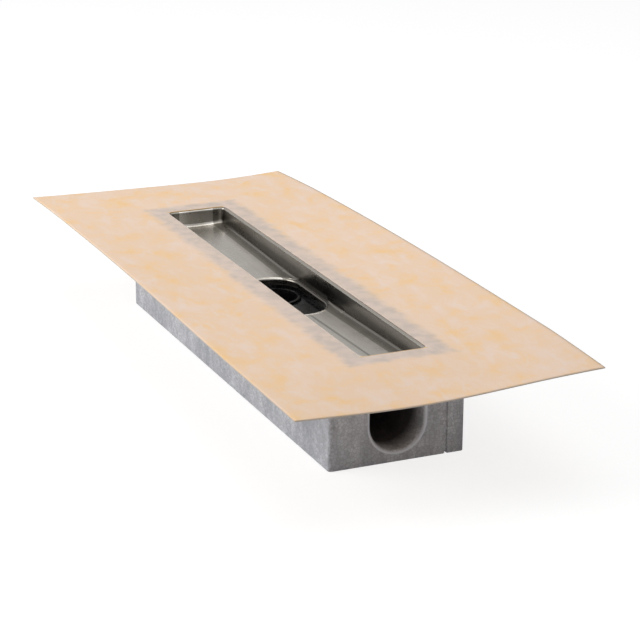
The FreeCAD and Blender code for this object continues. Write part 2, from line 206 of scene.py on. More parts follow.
@dataclass(frozen=True)
class DrawnStainless(Finish):
    """Stainless sheet, cold rolled and deep drawn.

    The eye sees a satin grey with faint long streaks from the rolling and a
    soft waviness where the sheet was stretched over the die. Painted shade
    makes the walls and side slopes darker than the floor, the walls most of
    all near their foot, under a painted highlight near their top. Painted
    shade also lies on the rim fold, on the ring's long sides, along a line
    down the floor's middle on the outlet side, and in the floor's middle.
    The real streaks are some 0.2 mm wide, too fine to show, and are drawn
    coarser. Spans ending in _mm run from nothing to full tone.
    """

    light: str = "#cdc9c3"
    dark: str = "#b6b2ab"
    # painted shade in the floor's middle; bare is the full tone near the side slopes
    middle: str = "#d3d1ce"
    bare: str = "#ffffff"
    # painted shade at the walls' foot and a painted highlight near their top
    wall_foot_shade: str = "#7d7a77"
    wall_top_highlight: str = "#f2f1ef"
    # painted shade on the rim fold, the ring's long sides, the side slopes and the crease line
    rim_shade: str = "#b5b2ad"
    ring_side_shade: str = "#7b7976"
    slope_shade: str = "#b4b2ae"
    crease: str = "#77776f"
    roughness: float = 0.27
    duller: float = 0.05
    glossier: float = 0.04
    streak_mm: float = 3.0
    streak_length_mm: float = 160.0
    haze_mm: float = 25.0
    wave_mm: float = 60.0
    half_x: float = 243.75 * MM
    half_y: float = 31.5 * MM
    neck_x: float = 58.0 * MM
    neck_y: float = 27.0 * MM
    end_wall_mm: Span = (-0.8, -0.1)
    side_wall_mm: Span = (-4.6, -1.8)
    climb_mm: Span = (88.0, 97.0)
    fold_mm: Span = (97.0, 97.9)
    floor_mm: Span = (-25.0, -13.0)
    slope_mm: Span = (-12.9, -12.1)
    ring_mm: Span = (-1.6, 0.4)
    ring_ends_mm: Span = (-4.0, -14.0)
    crease_mm: Span = (1.9, 0.5)
    outlet_side_mm: Span = (60.0, 66.0)
    crease_most: float = 0.8

    def surface(self, tree: Tree, place: Socket) -> dict:
        """Metal with streaks along the channel in colour and roughness."""
        across = 1 / (self.streak_mm * MM)
        along = add_node(tree, "Mapping", {
            "Vector": place, "Scale": (1 / (self.streak_length_mm * MM), across, across)})
        streak = add_node(tree, "TexNoise", {"Vector": along, "Scale": 1.0, "Detail": 4.0})
        haze = add_node(tree, "TexNoise", {
            "Vector": place, "Scale": 1 / (self.haze_mm * MM), "Detail": 3.0})
        tint = paint(tree, self.dark, (streak, self.light))
        # the streaked tint times the painted shade and highlight of walls, rim fold, slopes, ring,
        # floor and crease line
        overlaid_tone = add_node(tree, "Mix", {0: 1.0, 6: tint, 7: self.painted_shade_and_highlight(tree, place)},
                        data_type="RGBA", blend_type="MULTIPLY")
        rough = add_node(tree, "MapRange", {
            "Value": haze, "From Min": 0.3, "From Max": 0.7,
            "To Min": self.roughness - self.glossier, "To Max": self.roughness + self.duller})
        wave = add_node(tree, "TexNoise", {
            "Vector": place, "Scale": 1 / (self.wave_mm * MM), "Detail": 1.0})
        soft = add_node(tree, "Bump", {"Height": wave, "Strength": 0.5, "Distance": 0.6 * MM})
        grain = add_node(tree, "Bump", {
            "Height": streak, "Strength": 0.12, "Distance": 0.05 * MM, "Normal": soft})
        return {
            "Base Color": overlaid_tone, "Metallic": 1.0, "Roughness": rough, "Normal": grain}

    def painted_shade_and_highlight(self, tree: Tree, place: Socket) -> Node:
        """Painted shade and highlight on walls, rim fold, slopes, ring, floor and crease line.

        Args:
            tree: The material's node tree.
            place: The place in the drain's frame.

        Returns:
            The node that gives the tone, which multiplies the steel's colour.
        """
        parts = add_node(tree, "SeparateXYZ", {0: place})
        x, y, z = parts.outputs
        beyond_x, beyond_y, _ = outside(tree, parts, self.half_x, self.half_y)
        past_neck, past_ring, _ = outside(tree, parts, self.neck_x, self.neck_y)
        from_crease = add_node(tree, "Math", {0: y}, operation="ABSOLUTE")
        end_wall = cover(tree, Band(beyond_x, self.end_wall_mm, soft=True))
        side_wall = cover(tree, Band(beyond_y, self.side_wall_mm, soft=True))
        wall = add_node(tree, "Math", {0: end_wall, 1: side_wall}, operation="MAXIMUM")
        # painted shade at the walls' foot, a painted highlight near their top, painted shade on
        # the rim fold
        upright = paint(
            tree, self.wall_foot_shade, (Band(z, self.climb_mm), self.wall_top_highlight),
            (Band(z, self.fold_mm, soft=True), self.rim_shade))
        # painted shade on the ring's long sides
        ring = cover(
            tree, Band(past_ring, self.ring_mm, soft=True), Band(past_neck, self.ring_ends_mm))
        # painted shade along a line down the floor's middle, on the outlet side only
        drawn = cover(tree, Band(from_crease, self.crease_mm, soft=True),
                      Band(x, self.outlet_side_mm, self.crease_most))
        # painted shade in the floor's middle and on the side slopes, then on ring, crease line and
        # walls
        return paint(
            tree, self.middle, (Band(beyond_y, self.floor_mm), self.bare),
            (Band(beyond_y, self.slope_mm, soft=True), self.slope_shade), (ring, self.ring_side_shade),
            (drawn, self.crease), (wall, upright))


@dataclass(frozen=True)
class SpringStrip(Finish):
    """Bright rolled spring strip, tumbled after stamping: grey with fine scratches.

    Its scratches are drawn coarser than the real ones, which don't show.
    """

    light: str = "#c4c3c0"
    dark: str = "#8e8d8a"
    roughness: float = 0.32
    scratch_mm: float = 0.8

    def surface(self, tree: Tree, place: Socket) -> dict:
        """Metal with a fine short grain."""
        grain = add_node(tree, "TexNoise", {
            "Vector": place, "Scale": 1 / (self.scratch_mm * MM), "Detail": 5.0})
        bump = add_node(tree, "Bump", {"Height": grain, "Strength": 0.2, "Distance": 0.03 * MM})
        return {
            "Base Color": paint(tree, self.dark, (grain, self.light)), "Metallic": 1.0,
            "Roughness": self.roughness, "Normal": bump}


@dataclass(frozen=True)
class FleeceFilm(Finish):
    """Sealing film with polypropylene fleece bonded on both sides.

    The fibres lie unevenly, so the orange film shows through in yellowish
    clouds between paler, pinkish wisps. Over the steel flange, where the
    adhesive has soaked it, the fleece turns a blotchy greyish beige. At the
    opening the cut film shows as a pale line, ochre at the two short ends.
    The real fibres are 0.02 mm thick and are drawn coarser, so that they show.
    """

    fleece: str = "#f0d2b6"
    film: str = "#f4cb93"
    wisp: str = "#efd9cb"
    bonded: str = "#dccabe"
    grey: str = "#c9bbb1"
    edge: str = "#eadccd"
    cut: str = "#cbbfb2"
    ochre: str = "#dcb266"
    cloud_mm: float = 26.0
    wisp_mm: float = 22.0
    soak_mm: float = 13.0
    fibre_mm: float = 1.6
    flange_x: float = 262.25 * MM
    flange_y: float = 50.0 * MM
    opening_x: float = 243.75 * MM
    opening_y: float = 31.5 * MM
    half_x: float = 361.0 * MM
    half_y: float = 144.0 * MM
    cloud_levels: Span = (0.46, 0.68)
    wisp_levels: Span = (0.46, 0.70)
    patch_levels: Span = (0.3, 0.6)
    wander_mm: float = 9.0
    strip_mm: Span = (11.0, -1.0)
    inner_edge_mm: Span = (1.6, 0.5)
    outer_edge_mm: Span = (-0.8, -0.1)
    short_end_mm: Span = (-1.5, -0.2)
    far_out_mm: Span = (20.0, 40.0)

    def surface(self, tree: Tree, place: Socket) -> dict:
        """Cloth with clouds, wisps, fibres and the strip over the flange."""
        cloud = add_node(tree, "TexNoise", {
            "Vector": place, "Scale": 1 / (self.cloud_mm * MM), "Detail": 6.0, "Roughness": 0.6,
            "Distortion": 0.35})
        moved = add_node(tree, "Mapping", {
            "Vector": place, "Location": (3.1, 1.7, 0.0), "Rotation": (0.0, 0.0, 0.5),
            "Scale": (0.7, 1.3, 1.0)})
        wisp = add_node(tree, "TexNoise", {
            "Vector": moved, "Scale": 1 / (self.wisp_mm * MM), "Detail": 7.0, "Roughness": 0.62,
            "Distortion": 0.5})
        fibre = add_node(tree, "TexNoise", {
            "Vector": place, "Scale": 1 / (self.fibre_mm * MM), "Detail": 3.0})
        parts = add_node(tree, "SeparateXYZ", {0: place})
        cloth = paint(
            tree, self.fleece, (Band(cloud, self.cloud_levels, 0.9, unit=1), self.film),
            (Band(wisp, self.wisp_levels, 0.85, unit=1), self.wisp), self.soak(tree, place, parts),
            self.trim(tree, parts))
        bump = add_node(tree, "Bump", {"Height": fibre, "Strength": 0.25, "Distance": 0.25 * MM})
        return {
            "Base Color": cloth, "Roughness": 0.85, "IOR": 1.45, "Specular IOR Level": 0.25,
            "Sheen Weight": 0.1, "Sheen Roughness": 0.5, "Normal": bump}

    def soak(self, tree: Tree, place: Socket, parts: Node) -> tuple[Node, Node]:
        """The soaked strip, whose outer edge wanders by some millimetres.

        Args:
            tree: The material's node tree.
            place: The place in the drain's frame.
            parts: The node that gives its coordinates one by one.

        Returns:
            How much the strip covers and its colour.
        """
        over = outside(tree, parts, self.flange_x, self.flange_y)[2]
        stain = add_node(tree, "TexNoise", {
            "Vector": place, "Scale": 1 / (self.soak_mm * MM), "Detail": 3.0, "Roughness": 0.5})
        wander = add_node(
            tree, "Math", {0: stain, 1: self.wander_mm * MM, 2: over}, operation="MULTIPLY_ADD")
        tone = paint(
            tree, self.grey, (Band(stain, self.patch_levels, unit=1), self.bonded))
        return cover(tree, Band(wander, self.strip_mm, 0.92, soft=True)), tone

    def trim(self, tree: Tree, parts: Node) -> tuple[Node, Node]:
        """The cut edges, most of the colour within a millimetre of them.

        Args:
            tree: The material's node tree.
            parts: The node that gives the place's coordinates one by one.

        Returns:
            How much the edges cover and their colour: pale along the opening's
            sides, ochre at its short ends, greyer at the sheet's outer edges.
        """
        past_end, _, past = outside(tree, parts, self.opening_x, self.opening_y)
        rest = outside(tree, parts, self.half_x, self.half_y)[2]
        inner = cover(tree, Band(past, self.inner_edge_mm, 0.8))
        outer = cover(tree, Band(rest, self.outer_edge_mm, 0.85))
        tone = paint(
            tree, self.edge, (Band(past_end, self.short_end_mm), self.ochre),
            (Band(past, self.far_out_mm), self.cut))
        return add_node(tree, "Math", {0: inner, 1: outer}, operation="MAXIMUM"), tone


@dataclass(frozen=True)
class SteamedBeads(Finish):
    """Expanded polystyrene, steam-moulded from grey beads.

    The eye sees the skins of flattened beads, 3 to 4 mm across, with dark
    joints between them and cloudy upright patches where the steam fused them
    less. Deep inside the pipe slot the skin is painted dark as shade, and the
    slot's lip is painted pale as a highlight.
    """

    light: str = "#dadce2"
    mid: str = "#b1b4bc"
    joint: str = "#85868b"
    # painted shade deep inside the pipe slot
    slot_shade: str = "#2f2a28"
    # painted highlight on the pipe slot's lip
    lip: str = "#e6ecf6"
    bead_mm: float = 3.2
    patch_mm: float = 24.0
    slot_axis_mm: float = 36.0
    slot_radius_mm: float = 26.0
    slot_start_mm: float = 60.0
    end_mm: float = 254.5
    patch_levels: Span = (0.36, 0.64)
    shade_most: float = 0.34
    joint_levels: Span = (0.09, 0.0)
    dome_levels: Span = (0.0, 0.25)

    def surface(self, tree: Tree, place: Socket) -> dict:
        """Matte foam with beads, their joints and long cloudy patches."""
        density = 1 / (self.bead_mm * MM)
        beads = add_node(tree, "TexVoronoi", {"Vector": place, "Scale": density})
        joints = add_node(
            tree, "TexVoronoi", {"Vector": place, "Scale": density}, feature="DISTANCE_TO_EDGE")
        tall = add_node(tree, "Mapping", {
            "Vector": place, "Rotation": (0.0, 0.35, 0.0), "Scale": (1.0, 1.0, 0.35)})
        patch = add_node(tree, "TexNoise", {
            "Vector": tall, "Scale": 1 / (self.patch_mm * MM), "Detail": 6.0, "Roughness": 0.68})
        shade = add_node(tree, "SeparateColor", {0: beads.outputs["Color"]})
        # depth is the share of painted shade inside the slot, lip the share of the painted
        # highlight on its lip
        depth, lip = self.slot_shade_and_highlight(tree, place)
        tint = paint(
            tree, self.mid, (Band(patch, self.patch_levels, unit=1), self.light),
            (Band(shade, (0.0, 1.0), self.shade_most, unit=1), self.joint),
            (Band(joints, self.joint_levels, 0.55, unit=1), self.joint), (lip, self.lip),
            (depth, self.slot_shade))
        dome = cover(tree, Band(joints, self.dome_levels, unit=1))
        bump = add_node(tree, "Bump", {"Height": dome, "Strength": 0.35, "Distance": 0.3 * MM})
        return {
            "Base Color": tint, "Roughness": 0.8, "IOR": 1.45, "Specular IOR Level": 0.3,
            "Normal": bump}

    def slot_shade_and_highlight(self, tree: Tree, place: Socket) -> tuple[Node, Node]:
        """Painted shade and painted highlight of the pipe slot.

        The slot's section is the set of places nearer than its radius to the
        half line that rises from its axis. The painted shade grows with the way in.

        Args:
            tree: The material's node tree.
            place: The place in the drain's frame.

        Returns:
            How much painted shade covers a place, and how much the lip's painted highlight does.
        """
        x, y, z = add_node(tree, "SeparateXYZ", {0: place}).outputs
        below = add_node(tree, "Math", {0: z, 1: self.slot_axis_mm * MM}, operation="SUBTRACT")
        under = add_node(tree, "Math", {0: below, 1: 0.0}, operation="MINIMUM")
        section = add_node(tree, "CombineXYZ", {"Y": y, "Z": under})
        reach = add_node(tree, "VectorMath", {0: section}, operation="LENGTH")
        radius, end, start = self.slot_radius_mm, self.end_mm, self.slot_start_mm
        # painted shade, growing deeper inside the slot
        slot_shade = cover(tree, Band(reach, (radius + 1.4, radius + 0.6)),
                     Band(x, (end - 3.0, end - 26.0), 0.93), Band(x, (start, start + 8.0)))
        # painted highlight on the slot's lip
        lip = cover(
            tree, Band(reach, (radius + 3.4, radius + 2.6)), Band(x, (end - 2.2, end - 0.6)))
        return slot_shade, lip


@dataclass(frozen=True)
class MouldedPlastic(Finish):
    """Black polypropylene, injection moulded in a polished tool, slightly scuffed."""

    base: str = "#060606"
    overlaid_tone: str = "#0f0f10"
    roughness: float = 0.26
    duller: float = 0.1
    glossier: float = 0.06
    scuff_mm: float = 6.0

    def surface(self, tree: Tree, place: Socket) -> dict:
        """Glossy plastic with cloudy wear in colour and roughness."""
        scuff = add_node(tree, "TexNoise", {
            "Vector": place, "Scale": 1 / (self.scuff_mm * MM), "Detail": 5.0})
        rough = add_node(tree, "MapRange", {
            "Value": scuff, "From Min": 0.3, "From Max": 0.7,
            "To Min": self.roughness - self.glossier, "To Max": self.roughness + self.duller})
        bump = add_node(tree, "Bump", {"Height": scuff, "Strength": 0.08, "Distance": 0.1 * MM})
        return {
            "Base Color": paint(tree, self.base, (scuff, self.overlaid_tone)), "Roughness": rough,
            "IOR": 1.49, "Specular IOR Level": 0.3, "Normal": bump}


@dataclass(frozen=True)
class SealRubber(Finish):
    """Black EPDM rubber, moulded and dusted with talc: matte, faintly greyish."""

    base: str = "#1b1b1b"
    bloom: str = "#3a3a39"
    talc_mm: float = 4.0

    def surface(self, tree: Tree, place: Socket) -> dict:
        """Matte rubber with a patchy bloom."""
        talc = add_node(tree, "TexNoise", {
            "Vector": place, "Scale": 1 / (self.talc_mm * MM), "Detail": 6.0})
        return {
            "Base Color": paint(tree, self.base, (talc, self.bloom)), "Roughness": 0.7,
            "IOR": 1.5}


# ---- meshes ----

def linked(name: str, data: bpy.types.ID) -> Piece:
    """Make an object of some data and put it into the scene."""
    made = bpy.data.objects.new(name, data)
    bpy.context.scene.collection.objects.link(made)
    return made


@contextmanager
def edited(mesh: bpy.types.Mesh) -> Iterator[bmesh.types.BMesh]:
    """Open a mesh for editing, and at the end write it back."""
    work = bmesh.new()
    work.from_mesh(mesh)
    yield work
    work.to_mesh(mesh)
    work.free()


def quads(rows: int, columns: int, closed: bool = False) -> Grid:
    """Corner numbers of a grid's quads.

    Args:
        rows: Number of point rows.
        columns: Number of points in a row.
        closed: Whether each row runs round and meets itself.

    Returns:
        One line of four vertex numbers for each quad.
    """
    numbers = np.arange(rows * columns).reshape(rows, columns)
    after = np.roll(numbers, -1, axis=1)
    last = columns if closed else columns - 1
    return np.stack([numbers[:-1, :last], after[:-1, :last], after[1:, :last],
                     numbers[1:, :last]], axis=-1).reshape(-1, 4)


def mesh_piece(name: str, points: Grid, faces: Grid, merge: float = 0.0) -> Piece:
    """Make a smoothly shaded object from arrays of points and quads.

    Args:
        name: The piece's name.
        points: Places of the vertices, in metres.
        faces: Four vertex numbers for each face.
        merge: Distance under which vertices become one, or 0.

    Returns:
        The new object, at the origin, riding on the drain.
    """
    mesh = bpy.data.meshes.new(name)
    mesh.vertices.add(len(points))
    mesh.vertices.foreach_set("co", np.ascontiguousarray(points, np.float32).ravel())
    mesh.loops.add(faces.size)
    mesh.loops.foreach_set("vertex_index", faces.astype(np.int32).ravel())
    mesh.polygons.add(len(faces))
    mesh.polygons.foreach_set("loop_start", np.arange(0, faces.size, 4, dtype=np.int32))
    mesh.update(calc_edges=True)
    mesh.validate()
    if merge > 0:
        with edited(mesh) as work:
            bmesh.ops.remove_doubles(work, verts=work.verts, dist=merge)
            bmesh.ops.dissolve_degenerate(work, edges=work.edges, dist=merge)
    mesh.polygons.foreach_set("use_smooth", [True] * len(mesh.polygons))
    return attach(linked(name, mesh), BODY)


def merged_copy(name: str, node: str, bevel: float, segments: int = 2) -> Piece:
    """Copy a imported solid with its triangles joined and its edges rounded.

    Args:
        name: The new piece's name.
        node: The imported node, which the copy stands for.
        bevel: Radius given to its sharp edges, in metres.
        segments: Steps in that rounding.

    Returns:
        The new object, which replaces the node.
    """
    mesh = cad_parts[node].data.copy()
    mesh.materials.clear()
    with edited(mesh) as work:
        bmesh.ops.remove_doubles(work, verts=work.verts, dist=0.002 * MM)
        bmesh.ops.dissolve_limit(
            work, angle_limit=math.radians(0.5), verts=work.verts, edges=work.edges)
    piece = linked(name, mesh)
    rounding = piece.modifiers.new("rounded_edges", "BEVEL")
    rounding.width = bevel
    rounding.segments = segments
    rounding.limit_method = "ANGLE"
    rounding.angle_limit = SHARP
    rounding.harden_normals = True
    mesh.polygons.foreach_set("use_smooth", [True] * len(mesh.polygons))
    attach(piece, BODY)
    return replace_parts(piece, node)


def dress(piece: Piece, finish: Finish) -> Piece:
    """Give a piece its finish."""
    piece.data.materials.clear()
    piece.data.materials.append(finish.material())
    return piece


def thicken(piece: Piece, thickness: float) -> None:
    """Give a sheet its thickness, on the side away from its normals."""
    wall = piece.modifiers.new("sheet_thickness", "SOLIDIFY")
    wall.thickness = thickness
    wall.offset = -1.0
    wall.use_even_offset = True


def rounded_loop(half_x: float, half_y: float, radius: float, side_x: Grid, side_y: Grid,
                 arc: int) -> Grid:
    """Points round a rectangle with rounded corners.

    Each quarter runs from the middle of the +X side to the middle of the +Y
    side: up the side, round the corner as radius times (cos, sin), and back
    along the long side. The other quarters are its mirror images.

    Args:
        half_x: Half of the length along X.
        half_y: Half of the width along Y.
        radius: Corner radius, 0 for sharp corners.
        side_x: Shares of the +Y side's straight half, from 0 in the middle to 1.
        side_y: Shares of the +X side's straight half, from 0 in the middle to 1.
        arc: Points on each corner.

    Returns:
        An array of (x, y), counter-clockwise.
    """
    turn = np.linspace(0, QUARTER, arc)
    corner = np.stack([
        half_x - radius + radius * np.cos(turn), half_y - radius + radius * np.sin(turn)], axis=1)
    up = np.stack([np.full(len(side_y), half_x), side_y * (half_y - radius)], axis=1)
    back = np.stack([side_x[::-1] * (half_x - radius), np.full(len(side_x), half_y)], axis=1)
    quarter = np.concatenate([up[:-1], corner, back[1:]])
    top = np.concatenate([quarter, (quarter * (-1, 1))[::-1][1:]])
    return np.concatenate([top, (-top)[1:]])[:-1]


# ---- the drain's sub-assemblies ----

@dataclass
class SteelChannel:
    """Drawn steel channel: flange, walls, creased falling floor, ring and oval neck."""

    gauge: float = 1.2 * MM
    flange: float = 20.0 * MM
    corner: float = 4.0 * MM
    flange_corner: float = 9.0 * MM
    rim_fold: float = 1.5 * MM
    foot_radius: float = 2.5 * MM
    end_radius: float = 4.0 * MM
    depth_middle: float = 20.5 * MM
    depth_end: float = 16.0 * MM
    side_fall: float = 1.1 * MM
    side_width: float = 11.0 * MM
    centre_fall: float = 0.5 * MM
    crease: float = 1.2 * MM
    ring_x: float = 60.8 * MM
    ring_y: float = 30.2 * MM
    ring_drop: float = -0.6 * MM
    ring_lip: float = 0.35 * MM
    neck_x: float = 58.0 * MM
    neck_flare: float = 1.9 * MM
    middle: float = 74.0 * MM
    side_turn: float = 0.42
    floor_stations: tuple = (0, 0.6, 1.5, 3.5, 8, 13, 16, 17.5, 18.3, 19, 19.7, 20.5, 22, 24.5)
    floor_knee: float = 19.0
    bend_points: int = 8
    wall_points: int = 7
    middle_points: int = 50
    end_points: int = 40
    bay_loops: int = 13
    lip_points: int = 6
    neck_loops: int = 5
    finish: Finish = field(default_factory=DrawnStainless)

    def __post_init__(self) -> None:
        """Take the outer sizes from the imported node."""
        low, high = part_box("channel_trough")
        self.top = high.z
        self.neck_end = low.z
        self.half_x = high.x - self.flange
        self.half_y = high.y - self.flange

    def floor(self, x: Grid, y: Grid) -> Grid:
        """Height of the floor: a straight fall to the outlet and a creased section.

        The foot of the walls falls in proportion to the way to the outlet's
        ring. From there the section drops linearly over the side slopes and
        then, less steeply, to the middle. Each crease is a circle-like blend,
        the square root of the offset squared plus the crease radius squared.

        Args:
            x: Places along the channel.
            y: Places across it.

        Returns:
            The heights there.
        """
        share = (np.abs(x) - self.ring_x) / (self.half_x - self.ring_x)
        fall = self.depth_middle - self.depth_end
        foot = self.top - self.depth_middle + fall * self.ease(share, self.crease / self.half_x)
        knee = self.half_y - self.side_width
        past_knee = self.ease(np.abs(y) - knee, self.crease)
        centre = np.sqrt(y * y + self.crease ** 2) - self.crease
        steep = self.side_fall / self.side_width
        gentle = self.centre_fall / knee
        return (foot - self.side_fall - self.centre_fall + gentle * centre
                + (steep - gentle) * past_knee)

    @staticmethod
    def ease(value: Grid, radius: float) -> Grid:
        """The positive part of a value, with its corner rounded."""
        return (value + np.sqrt(value * value + radius * radius)) / 2

    def profile(self, half: float, inner: Grid, radius: float) -> tuple[Grid, Grid, Grid]:
        """A whole section, from flange edge to flange edge.

        Args:
            half: Distance from the middle to the wall.
            inner: Stations on one half of the floor.
            radius: Radius of the bend at the wall's foot.

        Returns:
            The distance from the middle, how far the foot's bend has climbed
            (radius times 1 - cos) and the share of the wall climbed, each
            with one value for a station. Above 1, that share counts the
            fold, as 1 + sin of its turn.
        """
        bend = np.linspace(0, QUARTER, self.bend_points)
        fold = np.linspace(0, QUARTER, self.wall_points)[1:]
        wall = np.linspace(0, 1, self.wall_points)[1:]
        out = np.array([0.15, 0.5, 1.0])
        place = np.concatenate([
            inner, half - radius * (1 - np.sin(bend)), np.full(len(wall), half),
            half + self.rim_fold * (1 - np.cos(fold)),
            half + self.rim_fold + (self.flange - self.rim_fold) * out])
        climbed = radius * np.concatenate([
            np.zeros(len(inner)), 1 - np.cos(bend), np.ones(len(wall) + len(fold) + len(out))])
        share = np.concatenate([
            np.zeros(len(inner) + len(bend)), wall, 1 + np.sin(fold), np.full(len(out), 2.0)])
        return tuple(np.concatenate([sign * value[::-1], value[1:]])
                     for sign, value in ((-1, place), (1, climbed), (1, share)))

    def height(self, x: Grid, y: Grid, climbed: Grid, share: Grid) -> Grid:
        """Height of bend, wall and fold over the floor under them, one after the other.

        Args:
            x: Places along the channel.
            y: Places across it.
            climbed: How far the foot's bend has climbed there.
            share: The share of wall and fold climbed, 0 to 2.

        Returns:
            The heights there.
        """
        floor = self.floor(
            np.clip(x, -self.half_x, self.half_x), np.clip(y, -self.half_y, self.half_y))
        foot = floor + climbed
        fold = self.top - self.rim_fold
        wall = foot + (fold - foot) * np.clip(share, 0, 1)
        return wall + self.rim_fold * np.clip(share - 1, 0, 1)

    def tray(self, along: tuple, across: tuple) -> Grid:
        """Points of the pan as the higher of a lengthwise and a crosswise section.

        In plan, a point outside the corner's circle is drawn in to it, with a
        radius that grows with the point's own offset from the wall.

        Args:
            along: The lengthwise section.
            across: The crosswise section.

        Returns:
            A grid of points, rows along X and columns along Y.
        """
        x, climb_x, share_x = (value[:, None] for value in along)
        y, climb_y, share_y = (value[None, :] for value in across)
        climbed, share = np.maximum(climb_x, climb_y), np.maximum(share_x, share_y)
        offset = np.maximum(np.abs(x) - self.half_x, np.abs(y) - self.half_y)
        offset = np.maximum(offset, -self.foot_radius)
        beyond = np.clip((offset - self.rim_fold) / (self.flange - self.rim_fold), 0, 1)
        radius = (self.corner + np.minimum(offset, self.rim_fold)
                  + beyond * (self.flange_corner - self.corner - self.rim_fold))
        reach_x = np.abs(x) - (self.half_x + offset - radius)
        reach_y = np.abs(y) - (self.half_y + offset - radius)
        length = np.hypot(reach_x, reach_y)
        pull = np.where((reach_x > 0) & (reach_y > 0) & (length > radius), radius / length, 1.0)
        plan_x, plan_y = (
            np.where(pull < 1, np.sign(value) * (np.abs(value) - reach * (1 - pull)),
                     value + 0 * pull)
            for value, reach in ((x, reach_x), (y, reach_y)))
        return np.stack([plan_x, plan_y, self.height(plan_x, plan_y, climbed, share)], axis=-1)

    def stadium(self, grow: float, rows: int, columns: int) -> Grid:
        """Points round the ring's oblong or one beside it, to meet the pan's grid.

        Args:
            grow: Distance out from the ring's outline, below 0 inside it.
            rows: Points up each short side of the patch round it.
            columns: Points along each long side.

        Returns:
            An array of (x, y), counter-clockwise from the lower +X corner.
        """
        half_x, half_y = self.ring_x + grow, self.ring_y + grow
        ends = np.linspace(0, self.side_turn, rows // 2 + 1)
        straight = half_x - half_y
        place = np.linspace(-1, 1, columns) * self.middle
        flat = np.clip(place, -straight, straight)
        past = np.abs(place) - straight
        turn = np.where(past > 0, QUARTER - (QUARTER - self.side_turn) * past
                        / (self.middle - straight), QUARTER)
        top = np.stack(
            [flat + np.sign(place) * half_y * np.cos(turn), half_y * np.sin(turn)], axis=1)
        side = np.stack([straight + half_y * np.cos(ends), half_y * np.sin(ends)], axis=1)
        right = np.concatenate([(side * (1, -1))[::-1], side[1:]])[:rows]
        loop = np.concatenate([right, top[::-1][1:-1]])
        return np.concatenate([loop, -loop])

    def build(self) -> list[Piece]:
        """Make the channel: the pan's grid, the patch round the outlet, ring and neck."""
        knee = self.half_y - self.side_width
        inner_y = np.array(self.floor_stations) / self.floor_knee * knee
        inner_x = np.concatenate([
            np.linspace(0, self.middle, self.middle_points),
            np.linspace(self.middle, self.half_x - self.end_radius, self.end_points)[1:-1]])
        along = self.profile(self.half_x, inner_x, self.end_radius)
        across = self.profile(self.half_y, inner_y, self.foot_radius)
        pan = self.tray(along, across)
        x_start, x_stop = (
            np.flatnonzero(np.isclose(along[0], end))[0] for end in (-self.middle, self.middle))
        bend_end = len(inner_y) + self.bend_points - 1
        centre = len(across[0]) // 2
        y_start, y_stop = centre - bend_end, centre + bend_end
        patch = self.outlet_patch(pan[x_start:x_stop + 1, y_start:y_stop + 1])
        faces = quads(*pan.shape[:2]).reshape(pan.shape[0] - 1, pan.shape[1] - 1, 4)
        keep = np.ones(faces.shape[:2], bool)
        keep[x_start:x_stop, y_start:y_stop] = False
        count = pan.shape[0] * pan.shape[1]
        points = np.concatenate([pan.reshape(-1, 3), patch.reshape(-1, 3)])
        patch_faces = quads(*patch.shape[:2], closed=True)[:, ::-1] + count
        piece = mesh_piece(
            "steel_channel", points, np.concatenate([faces[keep], patch_faces]), merge=0.01 * MM)
        self.face_up(piece)
        thicken(piece, self.gauge)
        dress(piece, self.finish)
        return [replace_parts(piece, "channel_trough")]

    @staticmethod
    def face_up(piece: Piece) -> None:
        """Turn the open sheet's faces so that its flange and floor face up."""
        with edited(piece.data) as work:
            bmesh.ops.recalc_face_normals(work, faces=work.faces)
            flange = max(
                work.faces, key=lambda face: (face.calc_center_median().z, face.calc_area()))
            if flange.normal.z < 0:
                bmesh.ops.reverse_faces(work, faces=work.faces)

    def outlet_patch(self, pan: Grid) -> Grid:
        """Loops from the pan's middle bay in to the outlet and down its neck.

        The first loop is the bay's own edge. In plan the next ones go straight
        from it to the ring's oblong and take the pan's height at each place.
        The last ones are level oblongs that step down over lip, flare and
        neck, the lip and the flare as quarters of a circle.

        Args:
            pan: The pan's points over the middle bay.

        Returns:
            A grid of points, one row for each loop.
        """
        border = np.concatenate([pan[-1, :-1], pan[:0:-1, -1], pan[0, :0:-1], pan[:-1, 0]])
        columns, rows = pan.shape[:2]
        ring = self.stadium(0.0, rows, columns)
        loops = []
        for step in np.linspace(0.0, 1.0, self.bay_loops):
            plan = border[:, :2] * (1 - step) + ring * step
            height = border[:, 2] if step == 0 else self.bay_height(plan)
            loops.append(np.column_stack([plan, height]))
        ring_z = self.top - self.depth_middle - self.side_fall - self.centre_fall - self.ring_drop
        drop = self.ring_x - self.neck_x
        turns = np.linspace(0, QUARTER, self.lip_points)
        rise, run = 1 - np.sin(turns), 1 - np.cos(turns)
        down = np.linspace(ring_z - self.neck_flare, self.neck_end, self.neck_loops)[1:]
        levels = np.concatenate([
            np.stack([-self.ring_lip * run, ring_z + self.ring_lip * rise], axis=1)[1:],
            np.stack([self.neck_flare * rise - drop, ring_z - self.neck_flare * run], axis=1),
            np.stack([np.full(len(down), -drop), down], axis=1)])
        for grow, z in levels:
            plan = self.stadium(grow, rows, columns)
            loops.append(np.column_stack([plan, np.full(len(plan), z)]))
        return np.array(loops)

    def bay_height(self, plan: Grid) -> Grid:
        """Height of the pan at places of its middle bay, with the foot's quarter bend."""
        radius = self.foot_radius
        over = np.clip(np.abs(plan[:, 1]) - (self.half_y - radius), 0, radius)
        bend = radius - np.sqrt(np.maximum(radius ** 2 - over ** 2, 0))
        return self.floor(plan[:, 0], plan[:, 1]) + bend


